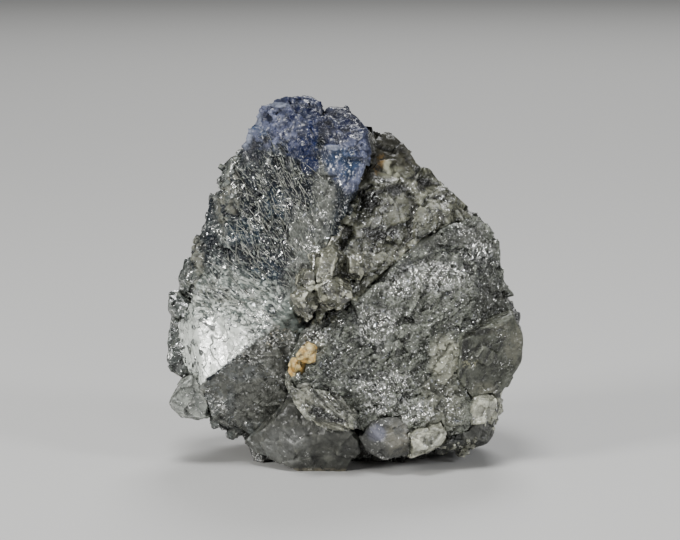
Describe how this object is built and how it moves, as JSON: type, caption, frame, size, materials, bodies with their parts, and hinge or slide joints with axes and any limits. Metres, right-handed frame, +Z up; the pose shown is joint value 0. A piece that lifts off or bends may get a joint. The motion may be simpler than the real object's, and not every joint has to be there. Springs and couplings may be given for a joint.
{
  "type": "tanzanite crystal",
  "caption": "Tanzanite specimen: a broad striated crystal with a blue-violet tip, grown with a granular grey crystal and small grains on a graphite matrix; stands on a flat foot.",
  "frame": {"origin": "on the surface that the specimen stands on, below the middle of its box", "axes": "+Z up; -Y is the best side, which shows the blue-tipped crystal at the left; +X to the right of that view"},
  "size_m": [0.0302, 0.0198, 0.0312],
  "materials": {
    "tanzanite": "striated translucent crystal, steel grey with a blue-violet tip",
    "grey_crystal": "granular grey crystal dusted with graphite, many small glints",
    "brown_crystal": "rough brown-grey crystal, stained in places",
    "smoky_crystal": "frosted smoky grey crystal",
    "pale_grain": "pale translucent grains",
    "rust_grain": "rust-stained gold grains, dull",
    "graphite": "dark graphite-rich rock with a soft metallic lustre"
  },
  "bodies": {
    "root": {"tanzanite_crystal": "tanzanite", "grey_crystal": "grey_crystal", "upper_brown_crystal": "brown_crystal", "side_crystal": "brown_crystal", "smoky_foot_crystal": "smoky_crystal", "fan_plate": "grey_crystal", "right_foot_crystal": "smoky_crystal", "lilac_crystal": "tanzanite", "cleft_grain_upper": "pale_grain", "cleft_grain_large": "pale_grain", "cleft_grain_left": "pale_grain", "cleft_grain_lower": "pale_grain", "cleft_grain_right": "pale_grain", "cleft_blade": "brown_crystal", "rust_grain_upper": "rust_grain", "rust_grain_lower": "rust_grain", "foot_grain_pale": "pale_grain", "foot_grain_right": "pale_grain", "left_edge_grain_top": "smoky_crystal", "left_edge_grain_middle": "pale_grain", "left_edge_grain_low": "pale_grain", "left_foot_grain": "pale_grain", "shoulder_grain": "smoky_crystal", "graphite_knob": "graphite", "graphite_matrix": "graphite"}
  },
  "joints": []
}
